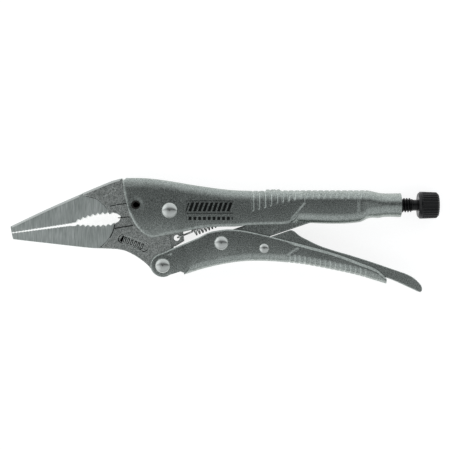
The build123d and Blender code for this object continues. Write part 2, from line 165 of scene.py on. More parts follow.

# %% [markdown]
# ## Etched mark
# A maker etches a panel into the cheek. This one is a plain pattern that means nothing: a row of slanted
# bars between two thin rules over a row of dashes, dark against the plating. It is a mask made of sums on the
# object's own coordinates, so it stays put on the metal when the handle moves.

# %% Plated steel with the etched panel
marked, tree, shader, place, colour = blasted_steel("nickel plated steel with an etched panel", PLATED_STOPS)
where = add_node(tree, "ShaderNodeSeparateXYZ", {0: place}).outputs


def within(tree, value, low_mm, high_mm):
    """One between the two limits, nought outside, with a soft edge."""
    rise = span(tree, value, (low_mm - 0.1) * MM, (low_mm + 0.1) * MM)
    fall = span(tree, value, (high_mm - 0.1) * MM, (high_mm + 0.1) * MM, 1.0, 0.0)
    return times(tree, rise, fall)


def striped(tree, value, pitch_mm, share):
    """Bars at an even pitch; share is how much of the pitch a bar fills."""
    phase = maths(tree, "FRACT", maths(tree, "DIVIDE", value, pitch_mm * MM))
    return span(tree, phase, share - 0.04, share + 0.04, 1.0, 0.0)


SLANT = 0.35
PITCH_MM, FILLED = 2.6, 0.62
INK = "#121313"
slanted = maths(tree, "SUBTRACT", where["X"], times(tree, where["Y"], SLANT))
bars = times(
    tree,
    striped(tree, slanted, PITCH_MM, FILLED),
    times(tree, within(tree, where["Y"], -0.5, 4.4), within(tree, slanted, 8.8, 32.9)),
)
dashes = times(
    tree,
    striped(tree, where["X"], PITCH_MM, FILLED),
    times(tree, within(tree, where["Y"], -5.2, -3.4), within(tree, where["X"], 9.3, 34.4)),
)
rules = times(
    tree,
    maths(tree, "MAXIMUM", within(tree, where["Y"], 5.0, 5.4), within(tree, where["Y"], -1.7, -1.3)),
    within(tree, where["X"], 9.0, 34.6),
)
upper_side = span(tree, where["Z"], MIDDLE_Z + 7.0 * MM, MIDDLE_Z + 7.2 * MM)
mask = times(
    tree, maths(tree, "MAXIMUM", bars, maths(tree, "MAXIMUM", dashes, rules)), times(tree, upper_side, 0.92)
)
etched = add_node(tree, "ShaderNodeMix", {"Factor": mask}, data_type="RGBA")
tree.links.new(colour, etched.inputs[6])
etched.inputs[7].default_value = linear(INK)
tree.links.new(etched.outputs[2], shader.inputs["Base Color"])
print("made", marked.name)

# %% [markdown]
# ## Forged and ground steel
# The jaws are forgings. Their shoulders are blasted like the handles, but the noses are ground flat with a
# wheel whose scratches run across the jaw. A noise squeezed along one axis draws those scratches: narrow
# along the jaw, long across it. The steel under them is a little bluer than the plating.

# %% Ground flats finish
SCRATCH_MM = 0.45
SCRATCH_LENGTH_MM = 7.0


def ground_steel(name, stops, turn=0.0):
    finish, tree, shader, place = new_finish(name)
    squeezed = add_node(
        tree,
        "ShaderNodeMapping",
        {
            "Vector": place,
            "Rotation": (0, 0, turn),
            "Scale": (per_mm(SCRATCH_MM), per_mm(SCRATCH_LENGTH_MM), per_mm(SCRATCH_MM)),
        },
    ).outputs[0]
    scratch = add_node(
        tree, "ShaderNodeTexNoise", {"Vector": squeezed, "Scale": 1.0, "Detail": 3.0, "Roughness": 0.6}
    ).outputs["Fac"]
    cloud = add_node(
        tree, "ShaderNodeTexNoise", {"Vector": place, "Scale": per_mm(16), "Detail": 1.0}
    ).outputs["Fac"]
    mixed = maths(tree, "ADD", times(tree, scratch, 0.75), times(tree, cloud, 0.25))
    tree.links.new(ramp(tree, mixed, stops), shader.inputs["Base Color"])
    tree.links.new(span(tree, scratch, 0.35, 0.65, 0.28, 0.40), shader.inputs["Roughness"])
    raised = add_node(tree, "ShaderNodeBump", {"Height": scratch, "Strength": 0.16, "Distance": 0.1 * MM})
    tree.links.new(raised.outputs[0], shader.inputs["Normal"])
    shader.inputs["Metallic"].default_value = 1.0
    return finish


ground = ground_steel(
    "ground tool steel", [(0.32, "#b4bdb9"), (0.50, "#ced6d2"), (0.66, "#e8eeeb")], turn=math.radians(-12)
)
forged = blasted_steel(
    "blasted forged steel", [(0.30, "#989d99"), (0.46, "#c2c8c4"), (0.56, "#d8ddd9"), (0.72, "#f4f6f4")]
)[0]
print("made", ground.name, "and", forged.name)

# %% [markdown]
# ## Bright and black steel
# The rivet heads are polished, so they mirror the studio. The spring is bright drawn wire. The screw and its
# knob are blackened by an oxide bath, which leaves a dark, slightly blue satin skin that is still metal.

# %% Polished, wire and black finishes


def plain_metal(name, colour, roughness, metallic=1.0):
    finish, tree, shader, place = new_finish(name)
    smear = add_node(
        tree, "ShaderNodeTexNoise", {"Vector": place, "Scale": per_mm(1.6), "Detail": 2.0}
    ).outputs["Fac"]
    tree.links.new(span(tree, smear, 0.3, 0.7, roughness * 0.75, roughness * 1.3), shader.inputs["Roughness"])
    shader.inputs["Base Color"].default_value = linear(colour)
    shader.inputs["Metallic"].default_value = metallic
    return finish


polished = plain_metal("polished rivet steel", "#c4c8c5", 0.16)
wire = plain_metal("drawn spring wire", "#e2e4e2", 0.35)
dark_pin = plain_metal("oiled spring pin steel", "#4a4846", 0.4)
blackened = plain_metal("black oxide steel", "#050608", 0.32, metallic=0.3)
print("made", polished.name, wire.name, dark_pin.name, blackened.name, sep=", ")

# %% [markdown]
# ## Softened parts
# A CAD part has edges of no width, which never catch the light. Real pressed and forged edges are
# broken by a fraction of a millimetre. So each part is copied, its flat facets are joined, and a bevel rounds
# every edge that turns sharply. The copy then stands for the CAD part.

# %% Soften a part


def merged_copy(node):
    """A bmesh of one CAD part with its loose triangles joined into whole faces."""
    mesh = bmesh.new()
    mesh.from_mesh(frame["nodes"][node].data)
    bmesh.ops.remove_doubles(mesh, verts=mesh.verts, dist=0.002 * MM)
    bmesh.ops.dissolve_limit(mesh, angle_limit=math.radians(0.6), verts=mesh.verts, edges=mesh.edges)
    return mesh


def to_piece(name, mesh, finishes):
    """A new object at the origin from a bmesh."""
    data = bpy.data.meshes.new(name)
    mesh.to_mesh(data)
    mesh.free()
    for finish in finishes:
        data.materials.append(finish)
    piece = bpy.data.objects.new(name, data)
    bpy.context.scene.collection.objects.link(piece)
    return piece


def settle(piece):
    """Turns a piece and its modifiers into one plain mesh."""
    graph = bpy.context.evaluated_depsgraph_get()
    graph.update()
    final = bpy.data.meshes.new_from_object(piece.evaluated_get(graph))
    piece.modifiers.clear()
    piece.data = final
    final.name = piece.name
    return piece


def break_edges(piece, width_mm, segments=2, angle=28):
    """Rounds the sharp edges of a piece and keeps its flat faces flat in the light."""
    for face in piece.data.polygons:
        face.use_smooth = True
    bevel = piece.modifiers.new("break edges", "BEVEL")
    bevel.width = width_mm * MM
    bevel.segments = segments
    bevel.limit_method = "ANGLE"
    bevel.angle_limit = math.radians(angle)
    bevel.use_clamp_overlap = False
    weigh = piece.modifiers.new("flat faces first", "WEIGHTED_NORMAL")
    weigh.keep_sharp = True
    return settle(piece)


def stand_for(piece, node):
    """The piece replaces a CAD part and rides on its body."""
    body = next(name for name, members in frame["record"]["behaviour"]["bodies"].items() if node in members)
    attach(piece, body)
    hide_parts(node)
    print(piece.name, "has", len(piece.data.polygons), "faces")


soft_parts = [
    ("toggle_link", plated, 0.5, "satin_steel"),
    ("release_lever", plated, 0.6, "satin_steel"),
    ("jaw_lock_pin", dark_pin, 0.25, "dark_pin"),
    ("jaw_pivot_rivet", polished, 0.2, "polished_steel"),
    ("lever_pivot_rivet", polished, 0.2, "polished_steel"),
    ("link_rivet", polished, 0.2, "polished_steel"),
    ("release_rivet", polished, 0.15, "polished_steel"),
]
for node, finish, width, slot in soft_parts:
    piece = to_piece(node + "_soft", merged_copy(node), [finish])
    stand_for(break_edges(piece, width), node)

# %% [markdown]
# ## Curves through points
# The outlines that follow are smooth heights along the tool. One function draws such a line through a few
# points, and another eases from nought to one.

# %% Smooth curves and steps


def through(points):
    """A smooth height over x through the points, level beyond its ends."""
    points = sorted(points)
    xs, ys = np.array(points, float).T
    steps = np.diff(ys) / np.diff(xs)
    slopes = np.concatenate(([steps[0]], (steps[:-1] + steps[1:]) / 2, [steps[-1]]))

    def height(x):
        x = np.clip(x, xs[0], xs[-1])
        i = np.clip(np.searchsorted(xs, x) - 1, 0, len(xs) - 2)
        gap = xs[i + 1] - xs[i]
        t = (x - xs[i]) / gap
        ends = (1 + 2 * t) * (1 - t) ** 2 * ys[i] + t * t * (3 - 2 * t) * ys[i + 1]
        return ends + t * (1 - t) ** 2 * gap * slopes[i] + t * t * (t - 1) * gap * slopes[i + 1]

    return height


def ease(t):
    """Nought to one with a soft start and end."""
    t = np.clip(t, 0, 1)
    return t * t * (3 - 2 * t)


# %% [markdown]
# ## Jaws
# Each jaw shows two surfaces: the blasted forging and the ground flat on its nose. The flat is the face that
# tilts a little towards the tip, so its faces are picked by that tilt and given the ground finish. Thin strips of
# painted shade follow the foot of the shoulder and the lines by the cutter, where shadow falls, and a bright one the
# top of the nose.

# %% Jaws with ground noses
# Painted shade: a dark steel colour on the walls of shallow steps and on the bevels and strips at their feet, where
# shadow falls
shadowed = plain_metal("painted shade in the steps and the parting", "#2a2c2b", 0.5)
HALF_JAW = 4.8
GROUND_TILT = (0.98, 0.99999)  # how upright a face's normal is on the ground flats
EDGE_BREAK_MM, PAINTED_SHADE_BEVEL_MM, BACK_BEVEL_MM = 0.22, 0.22, 1.0
BACK_FROM, BACK_TO = -86 * MM, -27 * MM
NOSE_BEHIND, CUTTER_BEFORE = -52.5 * MM, -29.5 * MM  # the painted-shade bevels stay clear of the teeth between these


def jaw_finish(face):
    """0 forged, 1 ground, 2 painted shade: the walls of shallow steps, coloured dark where shadow falls."""
    heights = [vertex.co.z for vertex in face.verts]
    if GROUND_TILT[0] < abs(face.normal.z) < GROUND_TILT[1] and face.calc_center_median().x < -30 * MM:
        return 1
    if abs(face.normal.z) < 0.3:
        shallow = max(heights) - min(heights) < 1.6 * MM
        return 2 if shallow else 0
    return 0


def round_back(mesh, back_side):
    """Bevels the steps of the jaw narrowly with painted shade, and returns the edges of its back for a wide bevel."""
    outline, lines = [], []
    for edge in mesh.edges:
        if len(edge.link_faces) != 2:
            continue
        flat, wall = sorted(edge.link_faces, key=lambda face: -abs(face.normal.z))
        middle = (edge.verts[0].co + edge.verts[1].co) / 2
        if abs(flat.normal.z) <= 0.9:
            continue
        tall = abs(wall.verts[0].co.z - wall.calc_center_median().z) > 1.2 * MM
        faces_back = abs(wall.normal.z) < 0.2 and wall.normal.y * back_side > 0.25
        small = wall.calc_area() < 4e-6
        clear = middle.x < NOSE_BEHIND or (middle.x > CUTTER_BEFORE and small)
        if faces_back and tall and BACK_FROM < middle.x < BACK_TO:
            outline.append(edge)
        elif wall.material_index == 2 and edge.calc_length() > 0.3 * MM and clear:
            lines.append(edge)
    # These narrow bevels take material 2, the painted shade
    bmesh.ops.bevel(
        mesh, geom=lines, offset=PAINTED_SHADE_BEVEL_MM * MM, segments=1, profile=0.5, affect="EDGES",
        clamp_overlap=False, material=2,
    )
    print("dark lines along", len(lines), "edges")
    return outline


NOSE_TOP = through([(-87.5, -8.7), (-68.4, 0.3), (-51.5, 7.8), (-40.3, 12.6), (-31.9, 16.0), (-26.6, 17.6)])
STEP_WIDTH, CUT_WIDTH, RIM_WIDTH = 0.5, 0.45, 1.1
# Each line of painted shade: the points along it and its width, in millimetres
PAINTED_SHADE_LINES = {
    "fixed_jaw": [
        (
            [
                (-47.5, 9.3), (-45.8, 8.0), (-43.4, 7.4), (-40.9, 6.8), (-39.0, 5.8), (-37.2, 4.3),
                (-35.7, 2.9), (-34.5, 1.4), (-33.6, -0.2), (-33.2, -1.0),
            ],
            STEP_WIDTH,
        ),
        ([(-32.7, 2.3), (-30, 2.9), (-27, 3.4), (-23.6, 3.9)], CUT_WIDTH),
        ([(-28.3, -4.0), (-25.5, -3.8), (-22.4, -3.5)], CUT_WIDTH),
    ],
    "moving_jaw": [
        (
            [
                (-30.1, -7.6), (-30.5, -9.6), (-31.0, -11.4), (-31.8, -13.1), (-32.6, -14.6), (-33.6, -15.9),
                (-34.7, -17.3), (-36.0, -18.6), (-38.3, -20.4),
            ],
            STEP_WIDTH,
        ),
        ([(-30.1, -9.7), (-27, -9.2), (-24, -8.7), (-20.0, -8.1)], CUT_WIDTH),
    ],
}
RIM_INSET = 0.62
RIM_SPANS = [(-86.6, -49.5, 12), (-47.5, -27.2, 8)]  # on the nose, then on the shoulder
RIMS = {
    "fixed_jaw": [[(x, NOSE_TOP(x) - RIM_INSET) for x in np.linspace(*limits)] for limits in RIM_SPANS],
    "moving_jaw": [],
}
WEDGE_X, WEDGE_HALF, WEDGE_RISE, WEDGE_LENGTH = -95, 1.9, 2.2, 65
SHOULDER_X = -33.1


def side_height(x):
    """Half thickness of a jaw at x: the ground wedge on the nose, full thickness behind it."""
    return WEDGE_HALF + (x - WEDGE_X) * WEDGE_RISE / WEDGE_LENGTH if x < SHOULDER_X else HALF_JAW


def ribbon(mesh, points, width, left, right, finish, height=side_height):
    """A closed strip along the points on both sides of the jaw; left and right are its edges' heights."""
    for side in (1, -1):
        rings = []
        for i, (x, y) in enumerate(points):
            before, after = points[max(i - 1, 0)], points[min(i + 1, len(points) - 1)]
            across = Vector((before[1] - after[1], after[0] - before[0])).normalized() * width / 2
            flat = height(x)
            ring = []
            for sign, rise in ((1, -0.1), (1, left), (-1, right), (-1, -0.1)):
                z = MIDDLE_Z + side * (flat + rise) * MM
                ring.append(mesh.verts.new(((x + sign * across.x) * MM, (y + sign * across.y) * MM, z)))
            rings.append(ring)
        made = []
        for a, b in zip(rings, rings[1:]):
            made += [mesh.faces.new([a[k], a[(k + 1) % 4], b[(k + 1) % 4], b[k]]) for k in range(4)]
        made += [mesh.faces.new(rings[0]), mesh.faces.new(rings[-1])]
        bmesh.ops.recalc_face_normals(mesh, faces=made)
        for face in made:
            face.material_index = finish


def draw_lines(piece, node):
    """Adds painted shade along the feet of the steps, and the sloping bright rim, after the edges are broken."""
    mesh = bmesh.new()
    mesh.from_mesh(piece.data)
    for points, width in PAINTED_SHADE_LINES[node]:
        # A strip of painted shade: dark steel laid along the foot of each step
        ribbon(mesh, points, width, 0.1, 0.1, 2)
    for points in RIMS[node]:
        on_shoulder = points[0][0] > -48
        ribbon(mesh, points, RIM_WIDTH, 0.02, 0.5, 3, (lambda x: HALF_JAW) if on_shoulder else side_height)
    mesh.to_mesh(piece.data)
    mesh.free()
    return piece


for node, back_side in (("fixed_jaw", 1), ("moving_jaw", -1)):
    mesh = merged_copy(node)
    mesh.normal_update()
    for face in mesh.faces:
        face.material_index = jaw_finish(face)
    outline = [edge for edge in round_back(mesh, back_side) if edge.is_valid]
    wide = BACK_BEVEL_MM * MM
    bmesh.ops.bevel(
        mesh, geom=outline, offset=wide, segments=3, profile=0.5, affect="EDGES", clamp_overlap=False
    )
    print("sloping rim along", len(outline), "edges")
    piece = to_piece(node + "_forging", mesh, [forged, ground, shadowed, polished])
    stand_for(draw_lines(break_edges(piece, EDGE_BREAK_MM), node), node)

# %% [markdown]
# ## Folded sheets
# The handle body and the lever are each one steel sheet folded over its length. A fold is easiest as a grid:
# rows across the tool, one every fraction of a millimetre, and columns that run from the middle of the top,
# round the bend, down the side, and on the tube round under the tool. The inner face is the same grid moved
# inwards by the sheet's thickness, and quads along the open edges join the two.

# %% The fold's section


def fold(top, half, bend_y, bend_z, side_end, under_r, wrap, slot):
    """Sections of a folded sheet, one row per x. All inputs are columns of numbers, one per row.

    Returns y, z, and the outward direction (ny, nz) of each point on the +Z half, and each column's kind:
    0 top, 1 bend, 2 side, 3 bend under the tube, 4 flat under the tube.
    """
    flat_t = np.linspace(0, 1, 6)
    bend_t = np.linspace(0, 1, 14)[1:] * math.pi / 2
    side_t = 1 - (1 - np.linspace(0, 1, 31)[1:]) ** 1.5
    under_t = np.linspace(0, 1, 9)[1:]
    seam_t = np.linspace(0, 1, 4)[1:]
    rows = np.ones_like(top)
    y0, z0 = top * np.ones_like(flat_t), (half - bend_z) * flat_t
    y1, z1 = top - bend_y + bend_y * np.cos(bend_t), half - bend_z + bend_z * np.sin(bend_t)
    n1y, n1z = np.cos(bend_t) / bend_y, np.sin(bend_t) / bend_z
    length = np.hypot(n1y, n1z)
    y2 = top - bend_y + (side_end - top + bend_y) * side_t
    z2 = half * np.ones_like(side_t)
    turn = under_t * wrap * math.pi / 2
    y3, z3 = side_end - under_r * np.sin(turn), half - under_r + under_r * np.cos(turn)
    last = wrap * math.pi / 2
    reach = np.maximum(half - under_r - slot, 0.01) * wrap * seam_t
    y4, z4 = y3[:, -1:] - reach * np.cos(last), z3[:, -1:] - reach * np.sin(last)
    y = np.hstack([y0, y1, y2, y3, y4])
    z = np.hstack([z0, z1, z2, z3, z4])
    ny = np.hstack(
        [rows * np.ones_like(flat_t), n1y / length, 0 * y2, -np.sin(turn), -np.sin(last) * np.ones_like(reach)]
    )
    nz = np.hstack([0 * y0, n1z / length, 0 * y2 + 1, np.cos(turn), np.cos(last) * np.ones_like(reach)])
    kind = np.repeat([0, 1, 2, 3, 4], [6, 13, 30, 8, 3])
    return y, z, ny, nz, kind


def sheet_mesh(name, outer, inner, keep):
    """A closed sheet from two grids of points in millimetres; keep says which cells are metal.

    The points of the outer face carry the number 1 in an attribute named outside.
    """
    rows, columns = outer.shape[:2]
    number = np.arange(rows * columns).reshape(rows, columns)
    behind = number + rows * columns
    faces = []
    padded = np.pad(keep, 1)
    for r, c in zip(*np.nonzero(keep)):
        a, b, d, e = number[r, c], number[r + 1, c], number[r + 1, c + 1], number[r, c + 1]
        faces.append((a, b, d, e))
        faces.append((behind[r, c + 1], behind[r + 1, c + 1], behind[r + 1, c], behind[r, c]))
        corners = ((r, c), (r + 1, c), (r + 1, c + 1), (r, c + 1))
        for k, (dr, dc) in enumerate(((0, -1), (1, 0), (0, 1), (-1, 0))):
            if not padded[r + 1 + dr, c + 1 + dc]:
                p, q = corners[k], corners[(k + 1) % 4]
                faces.append((number[q], number[p], behind[p], behind[q]))
    data = bpy.data.meshes.new(name)
    data.from_pydata(
        np.concatenate([outer.reshape(-1, 3), inner.reshape(-1, 3)]) * MM,
        [],
        [tuple(int(i) for i in face) for face in faces],
    )
    outside = data.attributes.new("outside", "FLOAT", "POINT")
    outside.data.foreach_set("value", np.repeat([1.0, 0.0], rows * columns).astype(np.float32))
    mesh = bmesh.new()
    mesh.from_mesh(data)
    bpy.data.meshes.remove(data)
    loose = [vertex for vertex in mesh.verts if not vertex.link_faces]
    bmesh.ops.delete(mesh, geom=loose, context="VERTS")
    bmesh.ops.remove_doubles(mesh, verts=mesh.verts, dist=0.008 * MM)
    bmesh.ops.dissolve_degenerate(mesh, dist=0.002 * MM, edges=mesh.edges)
    bmesh.ops.recalc_face_normals(mesh, faces=mesh.faces)
    return mesh


def both_sides(x, y, z, ny, nz, thickness, shave=0.0):
    """Mirrors half sections to whole rows of outer and inner points. shave thins the outer face's side."""
    outer = np.stack([x, y, z - shave], axis=-1)
    inner = np.stack([x, y - ny * thickness, z - nz * thickness], axis=-1)
    whole = []
    for half_grid in (outer, inner):
        mirror = half_grid[:, :0:-1] * np.array([1, 1, -1])
        grid = np.concatenate([mirror, half_grid], axis=1)
        grid[..., 2] += MIDDLE_Z / MM
        whole.append(grid)
    return whole


# %% [markdown]
# ## Pressed ribs
# The ribs that stop the hand slipping are pressed into the bend at an even pitch. A Geometry Nodes tree
# presses them into the finished sheet: each point looks for its nearest rib along x, and moves inwards along
# its normal when it is close to one. A painted number named ribs says where the press reached.

# %% Geometry Nodes: a group with named sizes, and the ribs
def node_group(name, sizes):
    """An empty Geometry Nodes tree with a geometry input and output and one named number per size."""
    tree = bpy.data.node_groups.new(name, "GeometryNodeTree")
    tree.interface.new_socket("Geometry", in_out="INPUT", socket_type="NodeSocketGeometry")
    tree.interface.new_socket("Geometry", in_out="OUTPUT", socket_type="NodeSocketGeometry")
    for size, value in sizes.items():
        kind = "NodeSocketInt" if isinstance(value, int) else "NodeSocketFloat"
        tree.interface.new_socket(size, in_out="INPUT", socket_type=kind)
    start = tree.nodes.new("NodeGroupInput").outputs
    end = tree.nodes.new("NodeGroupOutput").inputs[0]
    return tree, start, end


def finish_tree(tree, geometry, end, material):
    """Ends a tree: realize what it made and give it its finish."""
    real = add_node(tree, "GeometryNodeRealizeInstances", {0: geometry}).outputs[0]
    smooth = add_node(tree, "GeometryNodeSetShadeSmooth", {0: real}).outputs[0]
    coated = add_node(tree, "GeometryNodeSetMaterial", {0: smooth})
    coated.inputs["Material"].default_value = material
    tree.links.new(coated.outputs[0], end)


def grow(piece, tree, sizes):
    """Runs a tree on a piece with its sizes, and keeps the result as a plain mesh."""
    modifier = piece.modifiers.new(tree.name, "NODES")
    modifier.node_group = tree
    for item in tree.interface.items_tree:
        if item.in_out == "INPUT" and item.name in sizes:
            modifier[item.identifier] = sizes[item.name]
    return settle(piece)


def ribs_tree(sizes, material):
    tree, start, end = node_group("pressed ribs", sizes)
    x = add_node(
        tree, "ShaderNodeSeparateXYZ", {0: add_node(tree, "GeometryNodeInputPosition").outputs[0]}
    ).outputs["X"]
    step = maths(tree, "DIVIDE", maths(tree, "SUBTRACT", x, start["First"]), start["Pitch"])
    last = maths(tree, "SUBTRACT", start["Count"], 1)
    nearest = maths(tree, "MINIMUM", maths(tree, "MAXIMUM", maths(tree, "ROUND", step), 0), last)
    away = times(tree, maths(tree, "ABSOLUTE", maths(tree, "SUBTRACT", step, nearest)), start["Pitch"])
    groove = span(tree, away, 0.0, maths(tree, "DIVIDE", start["Width"], 2), 1.0, 0.0, "SMOOTHSTEP")
    reached = add_node(
        tree, "GeometryNodeInputNamedAttribute", {"Name": "ribs"}, data_type="FLOAT"
    ).outputs["Attribute"]
    depth = times(tree, times(tree, groove, reached), times(tree, start["Depth"], -1))
    normal = add_node(tree, "GeometryNodeInputNormal").outputs[0]
    shift = add_node(tree, "ShaderNodeVectorMath", {0: normal}, operation="SCALE")
    tree.links.new(depth, shift.inputs["Scale"])
    pressed = add_node(
        tree, "GeometryNodeSetPosition", {"Geometry": start["Geometry"], "Offset": shift.outputs[0]}
    ).outputs[0]
    finish_tree(tree, pressed, end, material)
    return tree


def paint_ribs(piece, reach):
    """Writes the number ribs on each point; reach(x, y, z) takes millimetres from the middle plane."""
    count = len(piece.data.vertices)
    place = np.empty(3 * count, np.float32)
    piece.data.vertices.foreach_get("co", place)
    x, y, z = place.reshape(-1, 3).T / MM
    outside = np.empty(count, np.float32)
    piece.data.attributes["outside"].data.foreach_get("value", outside)
    ribs = piece.data.attributes.new("ribs", "FLOAT", "POINT")
    ribs.data.foreach_set("value", (outside * reach(x, y, z - MIDDLE_Z / MM)).astype(np.float32))


def keep_corners(piece, degrees=38):
    """Smooth bends, crisp corners."""
    for face in piece.data.polygons:
        face.use_smooth = True
    piece.data.set_sharp_from_angle(angle=math.radians(degrees))


# %% [markdown]
# ## Handle body
# Its top edge falls slowly from the jaw to the grip and stays level along the tube. The cheeks end in a
# curved lower edge and a slanting front edge, both slightly rolled inwards by the press, which is why they
# shine. Behind x = 70 mm the sheet wraps right round into a tube, steps down at a slanted crease, and is
# drawn in to a round collar that holds the thread.

# %% Handle body sheet
SHEET = 2.5
HALF = 7.5
handle_top = through(
    [
        (-23.8, 17.9), (-14, 17.8), (-4.2, 16.8), (15.5, 13.6), (34.8, 11.2), (52, 10.9), (70, 11.2),
        (90, 11.2), (103, 11.2), (108.2, 11.2), (111.8, 10.5), (115.6, 9.7), (126.7, 9.6),
    ]
)
cheek_low = through(
    [
        (68, -5.6), (64.6, -7.0), (53.8, -7.6), (43.9, -7.9), (36.2, -8.7), (28.2, -8.8), (17.6, -9.5),
        (6.4, -11.8), (-2.3, -13.3), (-6.5, -14.3), (-10.1, -14.5), (-12.8, -13.6),
    ]
)
tube_low = through(
    [
        (66, -6.5), (103, -6.5), (105.7, -5.8), (108.2, -4.5), (110.6, -4.0), (115.1, -4.0), (117, -3.6),
        (126.7, -3.6),
    ]
)
front_x = through(
    [
        (17.9, -23.8), (16.0, -25.6), (14.5, -25.4), (9.0, -24.6), (5.0, -23.6), (1.2, -22.7), (-2.6, -21.3),
        (-7.6, -18.7), (-10.9, -16.0), (-13.6, -12.8),
    ]
)
FIRST_X, FRONT_REACH = -25.6, 34.0
PIN_X, PIN_Y, PIN_HOLE_R = -18.4, 3.1, 2.42
SLOT_END, SLOT_HALF = 90.9, 4.1
RIB_FIRST, RIB_PITCH = 45.4, 3.25
rows_x = np.concatenate([np.arange(FIRST_X, 43.5, 0.8), np.arange(43.5, 128.0, 0.32)])
rows_x = np.append(rows_x[rows_x < 126.4], 126.7)[:, None]
towards_front = np.clip(1 - (rows_x - FIRST_X) / FRONT_REACH, 0, 1)
wrap = ease((rows_x - 66) / 5)
drawn = ease((rows_x - 104.5) / 11.5)
top_x = rows_x + (front_x(handle_top(rows_x)) - FIRST_X) * towards_front
top = handle_top(top_x)
end_y = cheek_low(rows_x)
for _ in range(12):
    end_y = cheek_low(rows_x + (front_x(end_y) - FIRST_X) * towards_front)
under_r = 0.3 + 5.2 * wrap + 0.9 * drawn
side_end = end_y * (1 - wrap) + (tube_low(rows_x) + under_r) * wrap
half = HALF + (6.6 - HALF) * drawn
bend_y = 8.0 + (6.8 - 8.0) * ease((rows_x - 60) / 12) - 0.3 * drawn
bend_z = 4.2 + (6.4 - 4.2) * ease((rows_x - 60) / 12)
slot = np.sqrt(np.clip(SLOT_HALF**2 - (rows_x - SLOT_END) ** 2, 0.15**2, None))
slot = np.where(rows_x < SLOT_END, SLOT_HALF, slot)
y, z, ny, nz, kind = fold(top, half, bend_y, np.minimum(bend_z, half - 0.1), side_end, under_r, wrap, slot)
x = rows_x + (front_x(y) - FIRST_X) * towards_front
crease_x = 68.1 + np.clip((y + 1.9) * 5.1 / 6.0, -2.0, 5.1)
z *= 1 - 0.075 * ease((x - crease_x) / 0.9) * ease((104.5 - x) / 3.0)
side = (kind == 2) | (kind == 1)
boss = ease((x - 52.2) / 0.9) * ease((60.8 - x) / 0.9) * np.sqrt(np.clip(1 - (z / 3.8) ** 2, 0, 1)) * (kind < 2)
above_edge = y - side_end
side_middle = (side_end + top - bend_y) / 2
crown = 0.0052 * np.where(kind == 2, (y - side_middle) ** 2, (top - bend_y - side_middle) ** 2 * nz**4) * side
shave = 0.55 * np.clip(1 - above_edge / 1.5, 0, 1) ** 2 * (1 - wrap) * side
shave += 0.45 * np.clip(1 - (x - front_x(y)) / 1.2, 0, 1) ** 2 * side
pin_r = np.hypot(x - PIN_X, y - PIN_Y)
shave += 0.3 * (1 - ease((pin_r - 3.0) / 1.4)) * side
outer, inner = both_sides(x, y + 0.8 * boss, z, ny, nz, SHEET, shave + np.minimum(crown, 0.6))
whole_kind = np.concatenate([kind[:0:-1], kind])
keep = np.ones((len(rows_x) - 1, len(whole_kind) - 1), bool)
open_rows = (wrap[:-1, 0] == 0) & (wrap[1:, 0] == 0)
under = (whole_kind[:-1] > 2) | (whole_kind[1:] > 2)
keep[np.ix_(open_rows, under)] = False
body = to_piece("handle_sheet", sheet_mesh("handle sheet", outer, inner, keep), [marked])

# The hole for the lock pin goes through both cheeks
pin_place = (PIN_X * MM, PIN_Y * MM, MIDDLE_Z)
bpy.ops.mesh.primitive_cylinder_add(vertices=48, radius=PIN_HOLE_R * MM, depth=40 * MM, location=pin_place)
drill = bpy.context.object
cut = body.modifiers.new("pin hole", "BOOLEAN")
cut.object = drill
cut.solver = "EXACT"
settle(body)
bpy.data.objects.remove(drill)


def handle_reach(x, y, z):
    index = (x - RIB_FIRST) / RIB_PITCH
    reach = 4.4 + 0.9 * np.maximum(0, 8 - index)
    low_limit = handle_top(x) - reach
    return ease((y - low_limit) / 0.9) * (1 - 0.15 * ease((y - handle_top(x) + 3.0) / 2.5))


paint_ribs(body, handle_reach)
handle_ribs = {
    "First": RIB_FIRST * MM, "Pitch": RIB_PITCH * MM, "Count": 20, "Width": 1.5 * MM, "Depth": 0.5 * MM
}
grow(body, ribs_tree(handle_ribs, marked), handle_ribs)

# The tongue that anchors the spring inside the fold
tongue = bmesh.new()
tongue_place, tongue_size = Vector((56.4 * MM, 7.4 * MM, MIDDLE_Z)), Vector((4.6 * MM, 2.4 * MM, 2.0 * MM))
bmesh.ops.create_cube(tongue, size=1.0, matrix=Matrix.LocRotScale(tongue_place, None, tongue_size))
tongue_mesh = bpy.data.meshes.new("tongue")
tongue.to_mesh(tongue_mesh)
tongue.free()
joined = bmesh.new()
joined.from_mesh(body.data)
joined.from_mesh(tongue_mesh)
joined.to_mesh(body.data)
joined.free()
keep_corners(body)
stand_for(body, "handle_body")

# %% [markdown]
# ## Lever handle
# The same fold upside down: the web is below, and the two sides rise to an open edge. In front of the
# web only the two ears remain, round about the lever pivot. The open edge is rolled inwards along the grip,
# which gives it the bright band.

# %% Lever sheet
EAR_R = 6.7
PIVOT_X, PIVOT_Y = -3.7, -30.0
WEB_X = 7.9
CREASE_X, CREASE_Y, CREASE_DX, CREASE_DY = 64.4, -24.9, 5.1, 3.7
ear_top_x = PIVOT_X - 2.6
ear_top_y = PIVOT_Y + math.sqrt(EAR_R**2 - 2.6**2)
ear_low_x = PIVOT_X + 0.6
ear_low_y = PIVOT_Y - math.sqrt(EAR_R**2 - 0.6**2)
lever_rise = through(
    [
        (ear_top_x, ear_top_y), (-3.5, -23.0), (1.3, -20.8), (6.6, -18.6), (16.4, -14.4), (20.7, -12.2),
        (27, -10.8), (32.5, -10.3), (39.6, -10.9), (49.4, -12.9), (61.2, -15.8), (74.6, -19.2), (89.9, -23.4),
        (102.9, -28.2), (113.6, -32.8), (118.4, -37.3),
    ]
)
lever_under = through(
    [
        (7.9, -35.0), (20.4, -31.2), (37.3, -28.0), (49.6, -27.5), (71.7, -29.2), (89.9, -32.5),
        (102.9, -35.4), (118.0, -39.9),
    ]
)
ear_rows = PIVOT_X - EAR_R * np.cos(np.linspace(0.02, math.acos(2.6 / EAR_R), 14))
